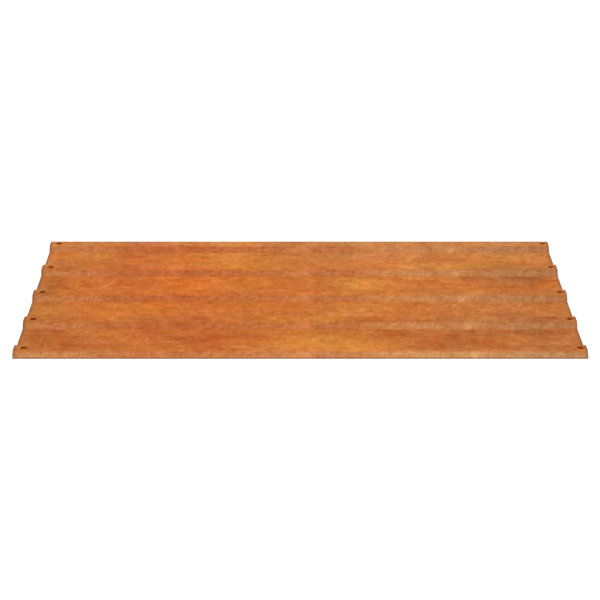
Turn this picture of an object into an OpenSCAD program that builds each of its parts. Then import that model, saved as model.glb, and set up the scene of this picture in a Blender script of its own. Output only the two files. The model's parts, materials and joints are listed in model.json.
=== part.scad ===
// Corrugated metal sheet: one roll-formed sheet with trapezoidal ribs along its
// length and a screw hole near each end of every rib. It lies flat, pans down.
// Millimetres, +Z up. X runs along the ribs, Y across them. The origin is at the
// middle of the sheet, on the surface that the pans rest on.

/* [Sheet] */
// Length along the ribs
sheet_length = 600; // [300:10:2400]
// Overall width across the ribs, from raw edge to raw edge
sheet_width = 360; // [300:5:420]
// Thickness of the steel
thickness = 0.5; // [0.4:0.05:1]

/* [Ribs] */
// Number of ribs across the width
rib_count = 5; // [3:1:6]
// Overall height, from the underside of the pans to the top of the ribs
rib_height = 7.5; // [6:0.5:12]
// Width of a rib's flat top, between the sharp corners of its upper face
rib_top = 16; // [13:0.5:22]
// Width of a rib at its foot, where its upper faces would meet the floor
rib_foot = 26; // [23:0.5:32]
// Inside radius of every bend
bend_radius = 1; // [0.5:0.1:2]

/* [Screw holes] */
// Diameter of the holes in the rib tops
hole_diameter = 7; // [4:0.5:9]
// Distance of the hole centres from the left end
left_inset = 10.5; // [6:0.5:40]
// Distance of the hole centres from the right end
right_inset = 7; // [6:0.5:40]

/* [Hidden] */
$fn = 64;
rust = [0.78, 0.43, 0.2];
bend_steps = 6;

// Slope of the rib sides above the horizontal, the direction that their upper
// faces look in, and the outside radius of a bend
slope = atan2(rib_height, (rib_foot - rib_top) / 2);
outward = [sin(slope), cos(slope)];
outer_radius = bend_radius + thickness;

// The two outermost slopes end in a raw edge, cut square to the sheet, with its
// lower corner on the floor
edge_lift = thickness * cos(slope);
edge_foot = rib_foot - 2 * edge_lift / tan(slope);
raw_edge = [edge_foot / 2, edge_lift];

// Rib spacing
pitch = (sheet_width - edge_foot) / (rib_count - 1);
function rib_y(i) = (i - (rib_count - 1) / 2) * pitch;

// Centres of the two bends in a rib's right half, from the middle of the rib
crest_bend = [rib_top / 2 - outer_radius * tan(slope / 2), rib_height - outer_radius];
foot_bend = [
    rib_foot / 2 - thickness / tan(slope) + bend_radius * tan(slope / 2),
    thickness + bend_radius
];

function arc(centre, radius, from, to) = [
    for (k = [0 : bend_steps])
        let (angle = from + (to - from) * k / bend_steps)
        centre + radius * [cos(angle), sin(angle)]
];
function reversed(points) = [for (k = [len(points) - 1 : -1 : 0]) points[k]];
function mirrored(points) = [for (p = reversed(points)) [-p.x, p.y]];

// Outline of one face of the sheet, upper or lower, from the middle of a rib down
// its right side: the crest bend, then the bend into the next pan or the raw edge
function side_outline(at_edge, upper) = concat(
    arc(crest_bend, upper ? outer_radius : bend_radius, 90, 90 - slope),
    at_edge
        ? [upper ? raw_edge : raw_edge - thickness * outward]
        : arc(foot_bend, upper ? bend_radius : outer_radius, 270 - slope, 270)
);
function rib_outline(i, upper) = [
    for (p = concat(
        mirrored(side_outline(i == 0, upper)),
        side_outline(i == rib_count - 1, upper)
    ))
        p + [rib_y(i), 0]
];
function face_outline(upper) = [for (i = [0 : rib_count - 1]) each rib_outline(i, upper)];

module sheet_section() {
    polygon(concat(face_outline(true), reversed(face_outline(false))));
}

module screw_holes() {
    for (x = [left_inset - sheet_length / 2, sheet_length / 2 - right_inset])
        for (i = [0 : rib_count - 1])
            translate([x, rib_y(i), 0]) cylinder(d = hole_diameter, h = 2 * rib_height);
}

module corrugated_sheet() {
    color(rust) difference() {
        rotate([90, 0, 90]) linear_extrude(height = sheet_length, center = true) sheet_section();
        screw_holes();
    }
}

corrugated_sheet();
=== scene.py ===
"""Corrugated metal sheet: the rusted sheet with its finish, flat on a pale studio floor. Metres, +Z up."""

import json
import math

import bpy
import mathutils
import numpy as np
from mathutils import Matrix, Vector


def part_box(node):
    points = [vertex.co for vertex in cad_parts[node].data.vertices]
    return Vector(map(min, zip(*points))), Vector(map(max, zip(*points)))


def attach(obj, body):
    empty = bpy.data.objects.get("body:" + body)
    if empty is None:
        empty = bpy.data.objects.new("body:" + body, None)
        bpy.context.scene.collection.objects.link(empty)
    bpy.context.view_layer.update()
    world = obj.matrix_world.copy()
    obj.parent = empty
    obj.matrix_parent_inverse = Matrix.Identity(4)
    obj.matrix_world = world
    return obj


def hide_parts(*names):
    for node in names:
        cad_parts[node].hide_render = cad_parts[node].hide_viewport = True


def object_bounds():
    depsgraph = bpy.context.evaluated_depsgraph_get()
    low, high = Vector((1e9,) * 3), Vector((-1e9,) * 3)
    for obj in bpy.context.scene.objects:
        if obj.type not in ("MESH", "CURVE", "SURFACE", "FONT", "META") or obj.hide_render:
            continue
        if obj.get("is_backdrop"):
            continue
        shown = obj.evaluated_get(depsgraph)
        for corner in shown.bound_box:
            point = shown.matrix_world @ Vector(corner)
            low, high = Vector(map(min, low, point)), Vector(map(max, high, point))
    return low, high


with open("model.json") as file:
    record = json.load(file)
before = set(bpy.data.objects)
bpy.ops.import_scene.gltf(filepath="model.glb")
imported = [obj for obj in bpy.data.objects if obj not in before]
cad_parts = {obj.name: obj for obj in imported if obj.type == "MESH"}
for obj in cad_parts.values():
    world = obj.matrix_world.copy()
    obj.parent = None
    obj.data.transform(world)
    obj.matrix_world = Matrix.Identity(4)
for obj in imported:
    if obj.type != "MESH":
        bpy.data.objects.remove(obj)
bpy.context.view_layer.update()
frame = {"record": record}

MM = 0.001

# Sizes of the section, as in the part's source
RIB_COUNT = 5
RIB_TOP = 16 * MM
RIB_FOOT = 26 * MM
THICKNESS = 0.5 * MM
BEND_RADIUS = 1 * MM

# Sizes and places that the frame gives
NODE = "corrugated_sheet"
low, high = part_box(NODE)
LENGTH = high.x - low.x
WIDTH = high.y - low.y
RIB_HEIGHT = high.z - low.z
screws = next(m for m in frame["record"]["mounts"] if m["name"] == "outer_rib_screws")
PITCH = screws["dims"]["spacing_y_mm"] * MM / (RIB_COUNT - 1)
HOLE_RADIUS = screws["dims"]["hole_r_mm"] * MM
HOLE_SPACING = screws["dims"]["spacing_x_mm"] * MM
HOLE_X = [screws["pos_m"][0] + side * HOLE_SPACING / 2 for side in (-1, 1)]
RIB_Y = [(rib - (RIB_COUNT - 1) / 2) * PITCH for rib in range(RIB_COUNT)]

# A rib's right side: its lean, and its bends' middles and raw edge, across and up from the rib's middle
OUTER_RADIUS = BEND_RADIUS + THICKNESS
SLOPE = math.atan2(RIB_HEIGHT, (RIB_FOOT - RIB_TOP) / 2)
EDGE_LIFT = THICKNESS * math.cos(SLOPE)
CREST_BEND = np.array([RIB_TOP / 2 - OUTER_RADIUS * math.tan(SLOPE / 2), RIB_HEIGHT - OUTER_RADIUS])
FOOT_BEND = np.array([
    RIB_FOOT / 2 - THICKNESS / math.tan(SLOPE) + BEND_RADIUS * math.tan(SLOPE / 2),
    THICKNESS + BEND_RADIUS,
])
RAW_EDGE = np.array([RIB_FOOT / 2 - EDGE_LIFT / math.tan(SLOPE), EDGE_LIFT])

# Faces of the mesh: across each part of the section, along the sheet and round the holes
BEND_CELLS = 5
SLOPE_CELLS = 3
PAN_CELLS = 12
HOLE_CELLS = 8
END_CELLS = 2
SPAN_CELLS = 36
HOLE_RINGS = 3
# Direction from a hole to the near left corner of the square of faces round it
FIRST_CORNER = math.radians(-135)
# Angle from which an edge of the mesh is sharp
SHARP_ANGLE = math.radians(35)

# Places of the faces in the picture that the finish is kept in: share of the picture's width, and corners
UPPER_SHARE = 0.996
UPPER_CORNER = (0.002, 0.002)
LOWER_SHARE = 0.48
LOWER_CORNER = (0.002, 0.675)
RIM_SHARE = (0.47, 0.013)
RIM_CORNER = (0.52, 0.68)
RIM_GAP = 1.6

# Name of the value that is 1 on the cut edges of the mesh
CUT_EDGES = "cut_edges"

# Places on the sheet in millimetres, as all sizes of the finish are
HALF_LENGTH = LENGTH / MM / 2
HALF_WIDTH = WIDTH / MM / 2
HALF_PITCH = PITCH / MM / 2
HALF_TOP = RIB_TOP / MM / 2
HALF_FOOT = RIB_FOOT / MM / 2
MID_HEIGHT = RIB_HEIGHT / MM / 2
HOLE_MIDDLE = screws["pos_m"][0] / MM
HOLE_REACH = HOLE_SPACING / MM / 2
HOLE_EDGE = HOLE_RADIUS / MM

# Colours in screen levels. Rust has four: fresh dark, fresh bright, greyed dark and greyed bright
FLAT_RUST = [(190, 92, 32), (231, 131, 52), (173, 99, 52), (214, 138, 73)]
SLOPE_RUST = [(202, 95, 40), (213, 138, 77), (173, 93, 51), (184, 136, 88)]
FLAT_SCRATCH = (234, 158, 92)
SLOPE_SCRATCH = (232, 172, 116)
HOLE_DIRT = (92, 48, 20)
PIT_DIRT = (118, 60, 26)
CUT_EDGE = (140, 84, 44)
END_DIRT = (132, 88, 58)
SIDE_DIRT = (148, 114, 88)
SCREEN_LEVELS = 255
# Change of red, green and blue, as shares of each, for one screen level more of yellow and of grey
YELLOWER = (-0.004, 0.013, -0.023)
GREYER = (0.011, 0.019, 0.038)

# Where tone, dark to bright, and tint, fresh to greyed, lie without stains, and how dark tone gets
FLAT_TONE = 0.516
FLAT_TINT = 0.56
SLOPE_TONE = 0.46
SLOPE_TINT = 0.39
UNDERSIDE_FRESHNESS = 0.7
DARKEST = -0.1
DARK_EASE = 0.4

# Spots in the rust: size, swing to either side, finer layers, and how much each of those keeps
FLAT_TONE_SPOTS = (20, 0.5, 1, 0.7)
FLAT_TINT_SPOTS = (34, 0.6, 2, 0.5)
OCHRE_SPOTS = (20, 9, 3, 0.7)
FLAT_GRAIN = (9, 21, 1, 0.85)
FLAT_STREAKS = (6.5, 17, 3, 0.7)
FLAT_HATCH = (2.6, 11, 2, 0.7)
FLAT_GRIT = (0.6, 18, 2, 0.7)
SLOPE_TONE_SPOTS = (9, 0.06, 4, 0.7)
SLOPE_BROAD_SPOTS = (50, 0.12, 2, 0.5)
SLOPE_TINT_SPOTS = (20, 0.08, 2, 0.5)
SLOPE_OCHRE_SPOTS = (26, 6, 2, 0.6)
SLOPE_GRAIN = (8, 26, 1, 0.8)
SLOPE_STREAKS = (1.8, 12, 1, 0.6)
SLOPE_HATCH = (2.4, 14, 2, 0.6)
SLOPE_DRIFT = (9, 14, 2, 0.5)
CREST_RAGS = (6, 1, 3, 0.7)
FOOT_RAGS = (6, 1.6, 3, 0.7)
EDGE_RAGS = (4, 0.5, 0, 0.5)
ROUGH_SPOTS = (0.8, 0.12, 3, 0.6)
BLISTERS = (5, 0.05, 2, 0.5)
GLOSS_SPOTS = (18, 0.12, 4, 0.7)
# How far spots are drawn out along the sheet, and squeezed across it, or drawn out there if below 1
SPOT_STRETCH = 1.8
STREAK_STRETCH = 3
GRAIN_SQUEEZE = 0.62
HATCH_SQUEEZE = 0.3
SIDE_STRETCH = 1.3
SIDE_STREAK_STRETCH = 8
SIDE_SQUEEZE = 2.2
SIDE_GRAIN_SQUEEZE = 1.8
SIDE_HATCH_SQUEEZE = 0.2
BROAD_SQUEEZE = 7
# How far the spots on the rib sides lean, and how far apart unlike layers of spots lie
GRAIN_LEAN = 0.35
LAYER_GAP = 500
# Middle of noise that runs from 0 to 1
NOISE_MIDDLE = 0.5

# Stains on the flats: middle, half sizes, and how much brighter or darker they are
TONE_STAINS = [
    (20, 150, 260, 45, 0.15), (-280, 0, 30, 90, -0.2), (270, 20, 40, 60, -0.15), (230, -130, 100, 45, -0.22),
    (-190, -135, 130, 45, -0.22), (100, -115, 60, 30, -0.15), (-60, -85, 160, 14, -0.12),
    (-80, 150, 22, 28, 0.4), (-140, 94, 10, 18, 0.35), (-98, 64, 12, 12, 0.35), (-115, 38, 20, 14, 0.25),
    (82, 160, 18, 18, 0.3), (95, 118, 34, 34, 0.25), (130, 138, 9, 16, 0.35), (132, 88, 26, 18, 0.4),
    (172, 86, 12, 16, 0.55), (208, 166, 10, 12, 0.3), (72, 46, 22, 18, 0.5), (98, 30, 20, 14, 0.35),
    (193, 6, 8, 16, 0.4), (-220, 32, 7, 12, 0.3), (-195, -50, 30, 22, 0.25), (54, -52, 18, 20, 0.4),
    (76, -26, 12, 12, 0.35), (18, -80, 28, 16, 0.3), (-30, -88, 12, 16, 0.25), (38, -155, 46, 28, 0.7),
    (14, -124, 14, 16, 0.3), (-20, -152, 26, 22, 0.3),
    (272, 60, 22, 16, -0.55), (215, 67, 34, 9, -0.35), (240, 92, 18, 10, -0.3), (-284, 52, 14, 26, -0.3),
    (-200, 132, 30, 14, -0.3), (-200, 86, 14, 12, -0.3), (-26, 147, 18, 8, -0.3), (186, 128, 16, 10, -0.3),
    (-84, 0, 12, 14, -0.3), (-150, -42, 12, 16, -0.25), (-108, -76, 14, 12, -0.3),
    (-265, -130, 34, 40, -0.3), (-240, -160, 10, 18, -0.2), (-90, -118, 46, 10, -0.35),
    (-105, -155, 30, 20, -0.2), (74, -90, 18, 8, -0.25), (104, -112, 20, 12, -0.35),
    (190, -108, 32, 9, -0.35), (260, -104, 22, 10, -0.5), (268, -78, 24, 9, -0.3),
    (184, -142, 24, 14, -0.25), (130, -152, 24, 14, -0.25), (175, -167, 60, 8, -0.25),
    (-65, 87, 45, 8, 0.25),
    (-90, 166, 30, 10, 0.3), (135, 168, 22, 10, 0.25), (240, 145, 55, 28, 0.25), (-272, 145, 24, 16, 0.25),
    (0, 142, 20, 12, -0.15), (-222, 92, 26, 18, -0.25), (-130, 84, 26, 12, 0.2), (-90, 105, 24, 14, 0.2),
    (-182, 42, 24, 12, -0.2), (90, 44, 24, 12, 0.2), (220, 44, 30, 12, -0.25), (-270, 24, 20, 10, -0.2),
    (-270, -25, 22, 12, 0.3), (245, -62, 50, 12, -0.25), (262, -86, 40, 10, -0.2), (-225, -107, 40, 12, 0.3),
    (-135, -125, 22, 12, -0.25), (-225, -160, 34, 18, -0.25), (225, -143, 24, 12, 0.28),
    (272, -165, 24, 14, -0.25), (-272, 168, 20, 8, 0.3), (45, 168, 14, 8, 0.2), (135, 166, 16, 8, 0.2),
    (-225, 36, 24, 16, -0.16), (-272, 10, 18, 24, -0.16), (-272, -95, 18, 24, -0.22),
    (132, -125, 16, 10, -0.22), (135, -168, 18, 8, -0.25), (270, -35, 20, 14, 0.14), (135, 0, 18, 8, -0.14),
]
# Stains on the flats that are greyer, or redder where the last number is below zero
TINT_STAINS = [
    (-140, 20, 110, 150, -0.35), (310, 0, 110, 200, 0.5), (-310, 0, 40, 180, 0.35), (80, 170, 240, 32, 0.6),
    (-145, 22, 36, 36, -0.25), (-148, 105, 40, 34, -0.1), (-40, -75, 40, 20, -0.15),
    (80, 135, 50, 14, 0.2), (128, 78, 35, 8, 0.3), (252, 70, 38, 14, 0.35), (270, -12, 24, 8, 0.2),
    (225, -88, 60, 12, 0.3), (215, 4, 30, 10, -0.3),
    (-20, 174, 330, 10, 0.4), (-245, 168, 50, 12, 0.3), (0, 135, 30, 18, 0.3), (250, 25, 60, 34, -0.3),
    (-135, -145, 40, 30, -0.35), (-60, 0, 60, 12, -0.25), (245, -165, 50, 14, 0.3), (265, -92, 30, 16, 0.25),
    (135, -108, 24, 12, 0.25), (45, -165, 24, 12, 0.25),
    (-225, 168, 40, 8, 0.35), (45, 170, 30, 8, 0.3), (-140, 100, 20, 14, -0.2), (135, 84, 20, 8, 0.22),
    (90, 42, 20, 14, -0.2), (-90, 46, 24, 14, 0.16), (-270, 15, 18, 18, -0.2), (-180, 0, 20, 8, -0.2),
    (45, -126, 18, 10, -0.22), (288, 45, 14, 22, -0.5), (287, -40, 14, 18, -0.35), (288, 110, 14, 34, -0.3),
]
# Stains on the flats that are more yellow, or pinker where the last number, in screen levels, is below zero
OCHRE_STAINS = [
    (-60, 95, 48, 28, 7), (205, 92, 50, 20, 7), (70, 20, 24, 40, 5), (140, 0, 60, 26, 3),
    (30, -140, 55, 38, 7), (0, -82, 50, 18, 4), (-285, -20, 22, 60, 5), (-285, -160, 40, 20, 5),
    (-185, 155, 30, 24, -7), (95, 138, 30, 22, -7), (-190, 90, 22, 20, -6), (-128, 82, 24, 22, -6),
    (-200, 38, 28, 24, -7), (-135, -10, 26, 14, -6), (-110, -60, 26, 24, -7), (-120, -130, 70, 24, -5),
]
# Stains along every rib side, paler or redder: middle, half length and strength
SLOPE_TONE_STAINS = [
    (-150, 55, -0.3), (-280, 24, 0.2), (3, 10, 0.2), (120, 40, 0.5), (182, 16, 0.3), (185, 35, 0.25),
    (250, 40, 0.25), (88, 22, 0.1),
]
# Stains along every rib side that are duller, or brighter where the last number is below zero
SLOPE_TINT_STAINS = [
    (262, 45, 0.53), (3, 10, -0.25), (-212, 12, 0.08), (-296, 8, 0.3), (-128, 10, 0.08), (36, 12, 0.2),
    (22, 5, 0.1), (96, 18, -0.12), (157, 10, 0.22), (213, 14, 0.15), (237, 8, 0.12), (-60, 40, -0.08),
    (290, 10, 0.18),
]
# Stains along every rib side that are lighter, in screen levels, or darker where below zero
SLOPE_GREY_STAINS = [
    (-279, 6, 4), (-267, 5, -8), (-255, 5, 8), (-233, 7, 3), (-209, 8, -4), (-189, 10, 4), (-171, 6, -1),
    (-159, 6, 4), (-147, 6, 12), (-123, 6, -6), (-105, 10, 3), (-87, 6, 5), (-70, 12, -3), (-3, 5, 9),
    (8, 6, 12), (21, 4, -3), (33, 6, 9), (45, 6, 3), (81, 6, 5), (105, 5, 7), (126, 10, 7), (142, 6, 5),
    (153, 5, 3), (165, 5, 4), (178, 6, 12), (190, 6, 2), (225, 6, 13), (237, 6, 8), (261, 5, 3),
    (273, 6, 9), (279, 8, -3), (294, 4, 2),
]
# Reach of a stain in half sizes, and how its edge wanders: size and finer layers of noise, and distance
STAIN_REACH = 1.7
STAIN_DRIFT_SPOTS = (30, 3)
STAIN_DRIFT = 40

# Scratches across every rib side: place at half height, lean and strength
SLOPE_MARKS = [
    (-244.3, 0.1, 0.9), (-238, 0.6, 0.9), (-233.5, 0.3, 0.5), (-228.5, 0.5, 0.6), (-224.5, 0.6, 0.5),
    (-198, 0.5, 0.3), (-180, 0.4, 0.25), (-158, 0.2, 0.35), (-150, 0.3, 0.2), (-110, 0.5, 0.2),
    (-15.4, 0.9, 0.8), (7, 0.6, 0.5), (265.5, 0.4, 0.4), (269.7, 0.85, 0.65),
]
# Their half width, where they end above and below, the noise that breaks them up, and how strong they are
MARK_HALF = 1.3
MARK_ENDS = (3.8, 2)
MARK_BREAKS = (2.5, 0.25, 0.55)
SLOPE_SCRATCH_SHARE = 0.75
# Scratches on the flats: middle, half length, angle in degrees and strength
FLAT_MARKS = [
    (-220, 41, 11, 59, 1), (171, -27, 16, 62, 0.7), (246, -23, 7, 70, 0.9), (-268, -154, 18, 96, 0.7),
    (-237, -106, 13, 104, 0.5), (-164, -126, 6, 90, 0.9), (-228, -137, 18, 94, 0.4),
    (-19, -155, 13, 94, 0.7), (214, 135, 13, 73, 0.6), (44, -133, 6, 117, 0.8), (56, 61, 6, 68, 0.7),
    (106, 44, 6, 113, 0.6), (-238, 58, 8, 83, 0.8), (-236, 25, 6, 68, 0.8),
]
FLAT_MARK_HALF = 0.9
FLAT_MARK_SHARE = 0.8
# Fine scattered scratches: angle in degrees, length, width, and how few they are, from 0 to 1
FLAT_SCRATCHES = [(54, 16, 1.2, 0.66), (-46, 14, 1.2, 0.68), (17, 20, 1.2, 0.69)]
SLOPE_SCRATCHES = (50, 8, 1.3, 0.6)
# How they fade and bend, the size, start and end of the noise that gathers them, and how strong they are
SCRATCH_FADE = 0.14
SCRATCH_BEND = 6
SCRATCH_PATCHES = (55, 0.35, 0.65)
FLAT_SCRATCH_SHARE = 0.55
FINE_SCRATCH_SHARE = 0.12

# Rib sides: where their colour starts and ends, the painted shade in the crease at their foot, the near edge
# and their middle
CREST_FADE = (HALF_TOP - 0.6, HALF_TOP + 1.5)
FOOT_FADE = (HALF_FOOT - 0.6, HALF_FOOT + 2.4)
# Painted shade in the crease at each rib's foot: where it starts and ends, and how many screen levels darker
# it is
FOOT_SHADE_START = (HALF_FOOT - 1, HALF_FOOT)
FOOT_SHADE_END = (HALF_FOOT + 6, HALF_FOOT)
FOOT_SHADE = -3
NEAR_EDGE = (-170, -172)
NEAR_PALENESS = 0.12
MIDDLE_FADE = (3, 0.5)
MIDDLE_PALENESS = 0.08
# Edges: dirt round the holes and along the ends and raw edges, and the dark cut edges outside the holes
RIM_FADE = (HOLE_EDGE + 1.2, HOLE_EDGE)
RIM_DIRT = 0.08
END_FADE = (HALF_LENGTH - 5, HALF_LENGTH)
SIDE_FADE = (HALF_WIDTH - 1.6, HALF_WIDTH - 0.2)
EDGE_DIRT_SHARE = 0.6
CUT_FADE = (HOLE_EDGE + 0.3, HOLE_EDGE + 1)
CUT_SHARE = 0.7
# Pits: size, start, end and finer layers of the noise that scatters and gathers them, their dirt and depth
PITS = (0.9, 0.58, 0.72, 1)
PIT_PATCHES = (16, 0.3, 0.65, 1)
PIT_SHARE = 0.45
PIT_DEPTH = 0.1
# Shine: rough and nearly without gloss
ROUGHNESS = 0.85
GLOSS = 0.05

# Light: a surround that is white where it is seen, and one broad lamp. A colour looks about as written
AMBIENT = 0.65
BACKGROUND = 1
WHITE = (1, 1, 1, 1)
KEY = 0.4
KEY_LEAN = math.radians(28)
KEY_TURN = math.radians(-15)
KEY_SPREAD = math.radians(50)
FLOOR_SIZE = 12
FLOOR_DROP = 0.05 * MM
FLOOR_COLOUR = (0.95, 0.95, 0.95, 1)
FLOOR_GLOW = 0.3

# Camera, from the photograph's perspective
CAMERA_PLACE = (-8.2 * MM, -2070.5 * MM, 779.3 * MM)
CAMERA_TILT = math.radians(20.68)
FOCAL_PIXELS = 1962.5
PICTURE_PIXELS = 600
MIDDLE_PIXEL = 292.4
SENSOR = 36


def linked(name, data):
    """A new object in the scene."""
    made = bpy.data.objects.new(name, data)
    bpy.context.scene.collection.objects.link(made)
    return made


def facing(tilt):
    """Direction, across and up, of a face that leans by a tilt."""
    return np.array([math.sin(tilt), math.cos(tilt)])


def between(start, end, cells):
    """Stations that divide the straight stretch between two stations."""
    return [start + (end - start) * k / cells for k in range(1, cells)]


def rib_side(at_edge):
    """Stations down a rib's right side, from the end of its flat top: across, up and tilt."""
    tilts = np.linspace(0, SLOPE, BEND_CELLS + 1)
    crest = [np.array([*(CREST_BEND + OUTER_RADIUS * facing(t)), t]) for t in tilts]
    if at_edge:
        foot = [np.array([*RAW_EDGE, SLOPE])]
    else:
        foot = [np.array([*(FOOT_BEND - BEND_RADIUS * facing(t)), t]) for t in reversed(tilts)]
    return crest + between(crest[-1], foot[0], SLOPE_CELLS) + foot


def section():
    """Stations across the upper face of the whole sheet, and where each rib's flat top starts among them."""
    stations, tops = [], []
    for rib, rib_y in enumerate(RIB_Y):
        right = rib_side(rib == RIB_COUNT - 1)
        left = [s * (-1, 1, -1) for s in reversed(rib_side(rib == 0))]
        rib_stations = left + between(left[-1], right[0], HOLE_CELLS) + right
        rib_stations = [s + (rib_y, 0, 0) for s in rib_stations]
        if stations:
            stations += between(stations[-1], rib_stations[0], PAN_CELLS)
        tops.append(len(stations) + len(left) - 1)
        stations += rib_stations
    return np.array(stations), tops


def cross_lines():
    """Places of the mesh's lines across the sheet, and where the faces round each hole start among them."""
    reach = LENGTH / 2 - HOLE_X[1]
    stops = [-LENGTH / 2, HOLE_X[0] - reach, HOLE_X[0] + reach, HOLE_X[1] - reach, HOLE_X[1] + reach]
    cells = [END_CELLS, HOLE_CELLS, SPAN_CELLS, HOLE_CELLS]
    places = [np.linspace(a, b, n, endpoint=False) for a, b, n in zip(stops, stops[1:], cells)]
    return np.append(np.concatenate(places), stops[-1]), [END_CELLS, END_CELLS + HOLE_CELLS + SPAN_CELLS]


class SheetMesh:
    """Points and four-cornered faces of the sheet. Each point also has its place on the unrolled sheet."""

    def __init__(self):
        self.points, self.unrolled = [], []
        self.faces = {"upper": [], "lower": [], "rim": []}

    def add_points(self, points, unrolled):
        """Adds points and gives their numbers."""
        first = sum(len(p) for p in self.points)
        self.points.append(np.asarray(points))
        self.unrolled.append(np.asarray(unrolled))
        return np.arange(first, first + len(points))

    def add_faces(self, part, a, b, c, d):
        """Faces from four arrays of corners."""
        self.faces[part].append(np.stack([np.ravel(v) for v in (a, b, c, d)], axis=1))

    def add_strip(self, part, inner, outer):
        """Faces between two rows of points, facing up where the rows run anticlockwise."""
        self.add_faces(part, inner[:-1], outer[:-1], outer[1:], inner[1:])

    def add_ring(self, part, inner, outer):
        """Faces between two closed rows of points."""
        self.add_strip(part, *(np.append(row, row[0]) for row in (inner, outer)))


def add_grids(made, stations, lines, developed):
    """Rows of points on the upper and the lower face, one row for each station."""
    normals = np.array([facing(t) for t in stations[:, 2]])
    unrolled = [(x, s) for s in developed for x in lines]
    grids = {}
    for side, depth in (("upper", 0), ("lower", THICKNESS)):
        face = stations[:, :2] - depth * normals
        points = [(x, y, z) for y, z in face for x in lines]
        grids[side] = made.add_points(points, unrolled).reshape(len(stations), len(lines))
    return grids


def add_plain_faces(made, grids, tops, holes):
    """Faces of the upper and the lower face, without the squares round the holes."""
    rows, columns = grids["upper"].shape
    kept = np.ones((rows - 1, columns - 1), bool)
    for top in tops:
        for line in holes:
            kept[top:top + HOLE_CELLS, line:line + HOLE_CELLS] = False
    for side, grid in grids.items():
        corners = [grid[:-1, :-1], grid[:-1, 1:], grid[1:, 1:], grid[1:, :-1]]
        corners = [c[kept] for c in corners]
        made.add_faces(side, *(corners if side == "upper" else reversed(corners)))


def outline_of_patch(grid, station, line):
    """Points of the grid round a hole's square of faces, anticlockwise from its near left corner."""
    n = HOLE_CELLS
    patch = grid[station:station + n + 1, line:line + n + 1]
    return np.concatenate([patch[0, :-1], patch[:-1, -1], patch[-1, :0:-1], patch[:0:-1, 0]])


def add_hole(made, grids, station, line, middle, unrolled_middle):
    """Rings of faces from a hole's square to its round edge, on both faces, and the hole's wall."""
    count = 4 * HOLE_CELLS
    turns = FIRST_CORNER + 2 * math.pi * np.arange(count) / count
    circle = np.stack([np.cos(turns), np.sin(turns)], axis=1) * HOLE_RADIUS
    edges = {}
    for side, height in (("upper", RIB_HEIGHT), ("lower", RIB_HEIGHT - THICKNESS)):
        outer = outline_of_patch(grids[side], station, line)
        square = np.concatenate(made.points)[outer][:, :2] - middle
        for ring in reversed(range(HOLE_RINGS)):
            flat = circle + (square - circle) * ring / HOLE_RINGS
            points = [(x, y, height) for x, y in flat + middle]
            inner = made.add_points(points, flat + unrolled_middle)
            made.add_ring(side, *((inner, outer) if side == "upper" else (outer, inner)))
            outer = inner
        edges[side] = inner
    made.add_ring("rim", edges["lower"], edges["upper"])


def add_cut_edges(made, upper, lower):
    """Faces of the two cut ends and the two raw edges."""
    for line, turn in ((0, 1), (-1, -1)):
        made.add_strip("rim", lower[:, line][::turn], upper[:, line][::turn])
    for station, turn in ((0, -1), (-1, 1)):
        made.add_strip("rim", lower[station][::turn], upper[station][::turn])


def sheet_mesh():
    """The whole sheet: two faces, rings of faces round the holes, and the cut edges."""
    made = SheetMesh()
    stations, tops = section()
    lines, holes = cross_lines()
    steps = np.hypot(*np.diff(stations[:, :2], axis=0).T)
    developed = np.concatenate([[0], np.cumsum(steps)])
    grids = add_grids(made, stations, lines, developed)
    add_plain_faces(made, grids, tops, holes)
    for top, rib_y in zip(tops, RIB_Y):
        unrolled_y = developed[top + HOLE_CELLS // 2]
        for line, hole_x in zip(holes, HOLE_X):
            add_hole(made, grids, top, line, (hole_x, rib_y), (hole_x, unrolled_y))
    add_cut_edges(made, **grids)
    return made


def unwrapped(made):
    """Place of each corner of each face in one square picture: upper face, lower face, then cut edges."""
    flat = (np.concatenate(made.unrolled) + (LENGTH / 2, 0)) / LENGTH
    upper = [flat[f] * UPPER_SHARE + UPPER_CORNER for f in made.faces["upper"]]
    lower = [flat[f] * LOWER_SHARE + LOWER_CORNER for f in made.faces["lower"]]
    rims = []
    for row, strip in enumerate(made.faces["rim"]):
        along = np.arange(len(strip))[:, None] + (0, 0, 1, 1)
        across = np.tile((0, 1, 1, 0), (len(strip), 1)) + row * RIM_GAP
        rims.append(np.stack([along / len(strip), across], axis=2) * RIM_SHARE + RIM_CORNER)
    return np.concatenate(upper + lower + rims).reshape(-1, 2)


def build_sheet():
    """The sheet as one piece, smooth over its bends and sharp at its cut edges."""
    made = sheet_mesh()
    faces = np.concatenate([f for part in made.faces.values() for f in part])
    rim_faces = sum(len(f) for f in made.faces["rim"])
    mesh = bpy.data.meshes.new("rusted_sheet")
    mesh.from_pydata(np.concatenate(made.points).tolist(), [], faces.tolist())
    mesh.uv_layers.new(name="OFBake").uv.foreach_set("vector", unwrapped(made).ravel())
    cut = mesh.attributes.new(CUT_EDGES, "FLOAT", "FACE")
    cut.data.foreach_set("value", np.arange(len(faces)) >= len(faces) - rim_faces)
    mesh.shade_smooth()
    mesh.set_sharp_from_angle(angle=SHARP_ANGLE)
    return linked("rusted_sheet", mesh)


# Inputs and output of a node that mixes two colours
MIX_SHARE = 0
MIX_FIRST = 6
MIX_SECOND = 7
MIX_RESULT = 2


def screen(*levels):
    """A colour written in screen levels as linear light."""
    return (*mathutils.Color([v / SCREEN_LEVELS for v in levels]).from_srgb_to_scene_linear(), 1)


def is_output(value):
    """Whether a value is an output of a node, and not a constant."""
    return isinstance(value, bpy.types.NodeSocket)


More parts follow.
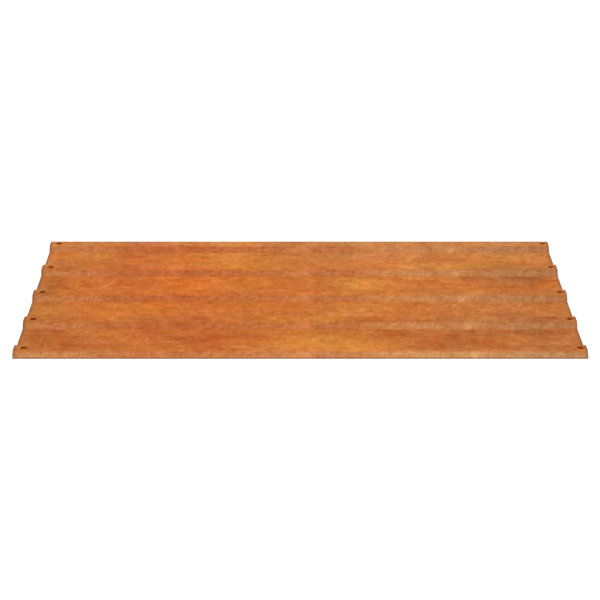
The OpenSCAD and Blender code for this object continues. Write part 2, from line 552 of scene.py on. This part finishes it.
class Graph:
    """Short calls that add nodes to a material or surround. A value is a node's output or a constant."""

    def __init__(self, owner):
        owner.use_nodes = True
        self.tree = owner.node_tree

    def feed(self, node, values):
        """Links or sets inputs of a node."""
        for key, value in values.items():
            if is_output(value):
                self.tree.links.new(value, node.inputs[key])
            else:
                node.inputs[key].default_value = value

    def feed_shader(self, name, values):
        """Links or sets inputs of the shader that the tree starts with."""
        self.feed(self.tree.nodes[name], values)

    def node(self, kind, values, output=0, **settings):
        """Adds a node and gives one of its outputs."""
        made = self.tree.nodes.new("ShaderNode" + kind)
        for name, setting in settings.items():
            setattr(made, name, setting)
        self.feed(made, values)
        return made.outputs[output]

    def math(self, operation, *values):
        return self.node("Math", dict(enumerate(values)), operation=operation)

    def vector(self, operation, *values):
        return self.node("VectorMath", dict(enumerate(values)), operation=operation)

    def parts(self, vector):
        return self.node("SeparateXYZ", {0: vector}).node.outputs

    def joined(self, *parts):
        return self.node("CombineXYZ", dict(enumerate(parts)))

    def total(self, *values):
        result = values[0]
        for value in values[1:]:
            result = self.math("ADD", result, value)
        return result

    def ease(self, value, start, end):
        """0 at the start, 1 at the end, smooth between."""
        values = {"Value": value, "From Min": start, "From Max": end}
        return self.node("MapRange", values, interpolation_type="SMOOTHSTEP")

    def mix(self, share, first, second):
        """A colour between two, each an output of a node or screen levels."""
        first, second = (c if is_output(c) else screen(*c) for c in (first, second))
        values = {MIX_SHARE: share, MIX_FIRST: first, MIX_SECOND: second}
        return self.node("Mix", values, output=MIX_RESULT, data_type="RGBA", clamp_factor=False)

    def drawn(self, place, stretch=1, squeeze=1):
        """A place for spots that are drawn out along the sheet and squeezed across it."""
        return self.vector("MULTIPLY", place, (1 / stretch, squeeze, 1))

    def noise(self, place, size, detail=0, roughness=0.5, output="Fac"):
        """Smooth noise from 0 to 1 whose largest spots are about a size across."""
        values = {"Vector": place, "Scale": 1 / size, "Detail": detail, "Roughness": roughness}
        return self.node("TexNoise", values, output=output)

    def swing(self, place, size, amount, detail=0, roughness=0.5):
        """Noise about zero."""
        value = self.math("SUBTRACT", self.noise(place, size, detail, roughness), NOISE_MIDDLE)
        return self.math("MULTIPLY", value, 2 * amount)


def spot(graph, place, x, y, half_x, half_y, angle=0):
    """1 in the middle of a soft oval spot, 0 outside it."""
    values = {
        "Vector": place,
        "Location": (x, y, 0),
        "Rotation": (0, 0, math.radians(angle)),
        "Scale": (half_x * STAIN_REACH, half_y * STAIN_REACH, 1),
    }
    inside = graph.node("Mapping", values, vector_type="TEXTURE")
    return graph.node("TexGradient", {"Vector": inside}, output="Fac", gradient_type="SPHERICAL")


def stains(graph, place, spots):
    """Sum of soft stains, each with its middle, half sizes and strength."""
    total = 0
    for *oval, strength in spots:
        total = graph.math("MULTIPLY_ADD", spot(graph, place, *oval), strength, total)
    return total


def stains_along(graph, x, spots):
    """Sum of soft stains along the sheet, each with its middle, half length and strength."""
    ovals = [(middle, 0, half, 1, strength) for middle, half, strength in spots]
    return stains(graph, graph.joined(x, 0, 0), ovals)


def scattered(graph, place, size, start, end, detail=0):
    """Scattered spots of about a size, 0 where their noise is below the start and 1 above the end."""
    return graph.ease(graph.noise(place, size, detail), start, end)


def strokes(graph, place, angle, length, width, fewness):
    """Scattered thin scratches that run at one angle."""
    values = {"Vector": place, "Angle": math.radians(-angle)}
    turned = graph.node("VectorRotate", values, rotation_type="Z_AXIS")
    thin = graph.drawn(turned, length, 1 / width)
    return scattered(graph, thin, size=1, start=fewness, end=fewness + SCRATCH_FADE)


def rust_colour(graph, palette, tone, tint):
    """Colour between a palette's four corners: tone runs from dark to bright, tint from fresh to greyed."""
    fresh = graph.mix(tone, palette[0], palette[1])
    greyed = graph.mix(tone, palette[2], palette[3])
    return graph.mix(tint, fresh, greyed)


def shifted(graph, colour, levels, per_level):
    """A colour moved by some screen levels, towards yellow or towards grey."""
    return graph.vector("MULTIPLY", colour, graph.vector("MULTIPLY_ADD", levels, per_level, (1, 1, 1)))


def flat_scratches(graph, colour, plan, drift):
    """A colour with the scratches of the flats: fine ones in patches, and larger ones at their places."""
    bent = graph.vector("MULTIPLY_ADD", drift, (SCRATCH_BEND, SCRATCH_BEND, 0), plan)
    where = scattered(graph, plan, *SCRATCH_PATCHES)
    for scratches in FLAT_SCRATCHES:
        marks = graph.math("MULTIPLY", strokes(graph, bent, *scratches), where)
        colour = graph.mix(graph.math("MULTIPLY", marks, FLAT_SCRATCH_SHARE), colour, FLAT_SCRATCH)
    ovals = [(x, y, half, FLAT_MARK_HALF, angle, strength) for x, y, half, angle, strength in FLAT_MARKS]
    marks = graph.math("MULTIPLY", stains(graph, plan, ovals), FLAT_MARK_SHARE)
    return graph.mix(marks, colour, FLAT_SCRATCH)


def flat_rust(graph, plan, under):
    """Colour of the pans and rib tops, mottled and stained in plan, and of the fresher underside."""
    wander = graph.noise(plan, *STAIN_DRIFT_SPOTS, output="Color")
    drift = graph.vector("SUBTRACT", wander, (NOISE_MIDDLE,) * 3)
    ragged = graph.vector("MULTIPLY_ADD", drift, (STAIN_DRIFT, STAIN_DRIFT, 0), plan)
    first = graph.drawn(plan, SPOT_STRETCH)
    second = graph.vector("ADD", first, (0, 0, LAYER_GAP / 2))
    third = graph.vector("ADD", first, (0, 0, LAYER_GAP / 4))
    tone = graph.total(stains(graph, ragged, TONE_STAINS), graph.swing(first, *FLAT_TONE_SPOTS), FLAT_TONE)
    tone = graph.math("SMOOTH_MAX", tone, DARKEST, DARK_EASE)
    tint = graph.total(stains(graph, ragged, TINT_STAINS), graph.swing(second, *FLAT_TINT_SPOTS), FLAT_TINT)
    tint = graph.math("MULTIPLY_ADD", under, -UNDERSIDE_FRESHNESS, tint)
    yellow = graph.total(stains(graph, ragged, OCHRE_STAINS), graph.swing(third, *OCHRE_SPOTS))
    colour = shifted(graph, rust_colour(graph, FLAT_RUST, tone, tint), yellow, YELLOWER)
    grain = graph.total(
        graph.swing(graph.drawn(plan, squeeze=GRAIN_SQUEEZE), *FLAT_GRAIN),
        graph.swing(graph.drawn(plan, STREAK_STRETCH), *FLAT_STREAKS),
        graph.swing(graph.drawn(plan, squeeze=HATCH_SQUEEZE), *FLAT_HATCH),
        graph.swing(plan, *FLAT_GRIT),
    )
    colour = shifted(graph, colour, grain, GREYER)
    return flat_scratches(graph, colour, plan, drift)


def slope_scratches(graph, x, off_middle, side):
    """Scratches across the rib sides, alike on every rib, and finer ones between them."""
    marks = 0
    for place, lean, strength in SLOPE_MARKS:
        upright = graph.math("MULTIPLY_ADD", off_middle, -lean, x)
        off_mark = graph.math("ABSOLUTE", graph.math("SUBTRACT", upright, place))
        mark = graph.math("MULTIPLY", graph.ease(off_mark, MARK_HALF, 0), strength)
        marks = graph.math("MAXIMUM", marks, mark)
    broken = scattered(graph, side, *MARK_BREAKS)
    short = graph.ease(graph.math("ABSOLUTE", off_middle), *MARK_ENDS)
    marks = graph.math("MULTIPLY", marks, graph.math("MULTIPLY", broken, short))
    fine = graph.math("MULTIPLY", strokes(graph, side, *SLOPE_SCRATCHES), FINE_SCRATCH_SHARE)
    return graph.math("MULTIPLY", graph.math("MAXIMUM", marks, fine), SLOPE_SCRATCH_SHARE)


def slope_rust(graph, x, y, z, face):
    """Colour of the rib sides, much the same along every rib."""
    side = graph.joined(x, z, face)
    drawn = graph.drawn(side, SIDE_STRETCH, SIDE_SQUEEZE)
    broad = graph.joined(x, graph.math("MULTIPLY_ADD", z, BROAD_SQUEEZE, y), face)
    leaning = graph.joined(graph.math("MULTIPLY_ADD", z, -GRAIN_LEAN, x), z, face)
    off_middle = graph.math("SUBTRACT", z, MID_HEIGHT)
    middle = graph.ease(graph.math("ABSOLUTE", off_middle), *MIDDLE_FADE)
    ragged = graph.math("ADD", x, graph.swing(drawn, *SLOPE_DRIFT))
    tone = graph.total(
        stains_along(graph, ragged, SLOPE_TONE_STAINS),
        graph.swing(drawn, *SLOPE_TONE_SPOTS),
        graph.swing(broad, *SLOPE_BROAD_SPOTS),
        graph.math("MULTIPLY", graph.ease(y, *NEAR_EDGE), NEAR_PALENESS),
        graph.math("MULTIPLY", middle, MIDDLE_PALENESS),
        SLOPE_TONE,
    )
    tint = graph.total(
        stains_along(graph, ragged, SLOPE_TINT_STAINS),
        graph.swing(drawn, *SLOPE_TINT_SPOTS),
        SLOPE_TINT,
    )
    colour = rust_colour(graph, SLOPE_RUST, tone, tint)
    colour = shifted(graph, colour, graph.swing(broad, *SLOPE_OCHRE_SPOTS), YELLOWER)
    grain = graph.total(
        stains_along(graph, ragged, SLOPE_GREY_STAINS),
        graph.swing(graph.drawn(leaning, squeeze=SIDE_GRAIN_SQUEEZE), *SLOPE_GRAIN),
        graph.swing(graph.drawn(side, SIDE_STREAK_STRETCH), *SLOPE_STREAKS),
        graph.swing(graph.drawn(leaning, squeeze=SIDE_HATCH_SQUEEZE), *SLOPE_HATCH),
    )
    colour = shifted(graph, colour, grain, GREYER)
    return graph.mix(slope_scratches(graph, x, off_middle, side), colour, SLOPE_SCRATCH)


def rib_sides(graph, from_rib, plan, under):
    """Where the rib sides' colour lies, on the upper face only, and where the painted shade in the crease at
    their foot does.
    """
    off_rib = graph.math("ABSOLUTE", from_rib)
    off_crest = graph.math("ADD", off_rib, graph.swing(plan, *CREST_RAGS))
    off_foot = graph.math("ADD", off_rib, graph.swing(plan, *FOOT_RAGS))
    steep = graph.math("SUBTRACT", graph.ease(off_crest, *CREST_FADE), graph.ease(off_foot, *FOOT_FADE))
    steep = graph.math("MULTIPLY", steep, graph.math("SUBTRACT", 1, under))
    # Painted shade: a band that darkens the crease where each rib side meets the pan
    shade_start = graph.ease(off_foot, *FOOT_SHADE_START)
    shade_end = graph.ease(off_foot, *FOOT_SHADE_END)
    return steep, graph.math("MULTIPLY", shade_start, shade_end)


def edge_dirt(graph, colour, x, y, from_rib, plan):
    """A colour with the dirt round the holes and along the ends and raw edges, and the dark cut edges."""
    from_middle = graph.math("ABSOLUTE", graph.math("SUBTRACT", x, HOLE_MIDDLE))
    off_hole = graph.joined(graph.math("SUBTRACT", from_middle, HOLE_REACH), from_rib, 0)
    from_hole = graph.node("VectorMath", {0: off_hole}, output="Value", operation="LENGTH")
    rim = graph.math("MULTIPLY", graph.ease(from_hole, *RIM_FADE), RIM_DIRT)
    colour = graph.mix(rim, colour, HOLE_DIRT)
    at_end = graph.ease(graph.math("ABSOLUTE", x), *END_FADE)
    at_side = graph.ease(graph.math("ABSOLUTE", y), *SIDE_FADE)
    share = graph.math("ADD", graph.swing(plan, *EDGE_RAGS), EDGE_DIRT_SHARE)
    colour = graph.mix(graph.math("MULTIPLY", at_end, share), colour, END_DIRT)
    colour = graph.mix(graph.math("MULTIPLY", at_side, share), colour, SIDE_DIRT)
    cut = graph.node("Attribute", {}, output="Fac", attribute_name=CUT_EDGES)
    cut = graph.math("MULTIPLY", cut, graph.ease(from_hole, *CUT_FADE))
    return graph.mix(graph.math("MULTIPLY", cut, CUT_SHARE), colour, CUT_EDGE)


def rusted_steel():
    """Matt orange rust: mottled flats, browner rib sides, dark cut edges and dirt round the screw holes."""
    material = bpy.data.materials.new("rusted_steel")
    graph = Graph(material)
    place = graph.vector("MULTIPLY", graph.node("TexCoord", {}, output="Object"), (1 / MM,) * 3)
    x, y, z = graph.parts(place)
    _, facing_y, facing_z = graph.parts(graph.node("NewGeometry", {}, output="Normal"))
    under = graph.math("LESS_THAN", facing_z, 0)
    plan = graph.joined(x, y, graph.math("MULTIPLY", under, LAYER_GAP))
    face = graph.math("MULTIPLY", graph.math("GREATER_THAN", facing_y, 0), LAYER_GAP)
    from_rib = graph.math("WRAP", y, HALF_PITCH, -HALF_PITCH)

    steep, painted_foot_shade = rib_sides(graph, from_rib, plan, under)
    colour = graph.mix(steep, flat_rust(graph, plan, under), slope_rust(graph, x, y, z, face))
    # Painted shade: the crease at the foot of each rib is made darker
    colour = shifted(graph, colour, graph.math("MULTIPLY", painted_foot_shade, FOOT_SHADE), GREYER)
    colour = edge_dirt(graph, colour, x, y, from_rib, plan)

    pits = graph.math("MULTIPLY", scattered(graph, place, *PITS), scattered(graph, plan, *PIT_PATCHES))
    colour = graph.mix(graph.math("MULTIPLY", pits, PIT_SHARE), colour, PIT_DIRT)
    sunk = graph.math("MULTIPLY", pits, -PIT_DEPTH)
    height = graph.total(graph.swing(place, *ROUGH_SPOTS), graph.swing(plan, *BLISTERS), sunk)
    values = {
        "Base Color": colour,
        "Roughness": graph.math("ADD", graph.swing(plan, *GLOSS_SPOTS), ROUGHNESS),
        "Normal": graph.node("Bump", {"Height": height, "Distance": MM}),
        "Specular IOR Level": GLOSS,
    }
    graph.feed_shader("Principled BSDF", values)
    return material


def seen_directly(graph):
    """1 for rays that show the surround itself: from the camera, mirrors and glass."""
    rays = graph.node("LightPath", {}).node.outputs
    shiny = graph.math("MAXIMUM", rays["Is Glossy Ray"], rays["Is Transmission Ray"])
    return graph.math("MAXIMUM", rays["Is Camera Ray"], shiny)


def light_studio():
    """A white surround that lights softly from all sides, and a broad lamp from above the near edge."""
    world = bpy.data.worlds.new("studio")
    bpy.context.scene.world = world
    graph = Graph(world)
    values = {"Value": seen_directly(graph), "To Min": AMBIENT, "To Max": BACKGROUND}
    graph.feed_shader("Background", {"Color": WHITE, "Strength": graph.node("MapRange", values)})

    lamp = bpy.data.lights.new("key", "SUN")
    lamp.energy = KEY * math.pi
    lamp.angle = KEY_SPREAD
    linked("key", lamp).rotation_euler = (KEY_LEAN, 0, KEY_TURN)


def lay_floor():
    """A plain white floor that keeps the sheet's shadow."""
    half = FLOOR_SIZE / 2
    corners = [(x, y, -FLOOR_DROP) for x, y in ((-half, -half), (half, -half), (half, half), (-half, half))]
    mesh = bpy.data.meshes.new("floor")
    mesh.from_pydata(corners, [], [(0, 1, 2, 3)])
    material = bpy.data.materials.new("floor")
    graph = Graph(material)
    values = {
        "Base Color": FLOOR_COLOUR,
        "Roughness": 1,
        "Specular IOR Level": 0,
        "Emission Color": WHITE,
        "Emission Strength": graph.math("MULTIPLY", seen_directly(graph), FLOOR_GLOW),
    }
    graph.feed_shader("Principled BSDF", values)
    mesh.materials.append(material)
    floor = linked("floor", mesh)
    floor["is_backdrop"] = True


def place_camera():
    """The camera where the photograph was taken from."""
    lens = bpy.data.cameras.new("camera")
    lens.sensor_width = SENSOR
    lens.lens = SENSOR * FOCAL_PIXELS / PICTURE_PIXELS
    lens.shift_x = (PICTURE_PIXELS / 2 - MIDDLE_PIXEL) / PICTURE_PIXELS
    camera = linked("camera", lens)
    camera.location = CAMERA_PLACE
    camera.rotation_euler = (math.pi / 2 - CAMERA_TILT, 0, 0)
    bpy.context.scene.camera = camera


sheet = build_sheet()
sheet.data.materials.append(rusted_steel())
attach(sheet, "root")
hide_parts(NODE)

light_studio()
lay_floor()
place_camera()
bpy.context.scene.view_settings.view_transform = "Standard"

bpy.context.view_layer.update()
low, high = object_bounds()
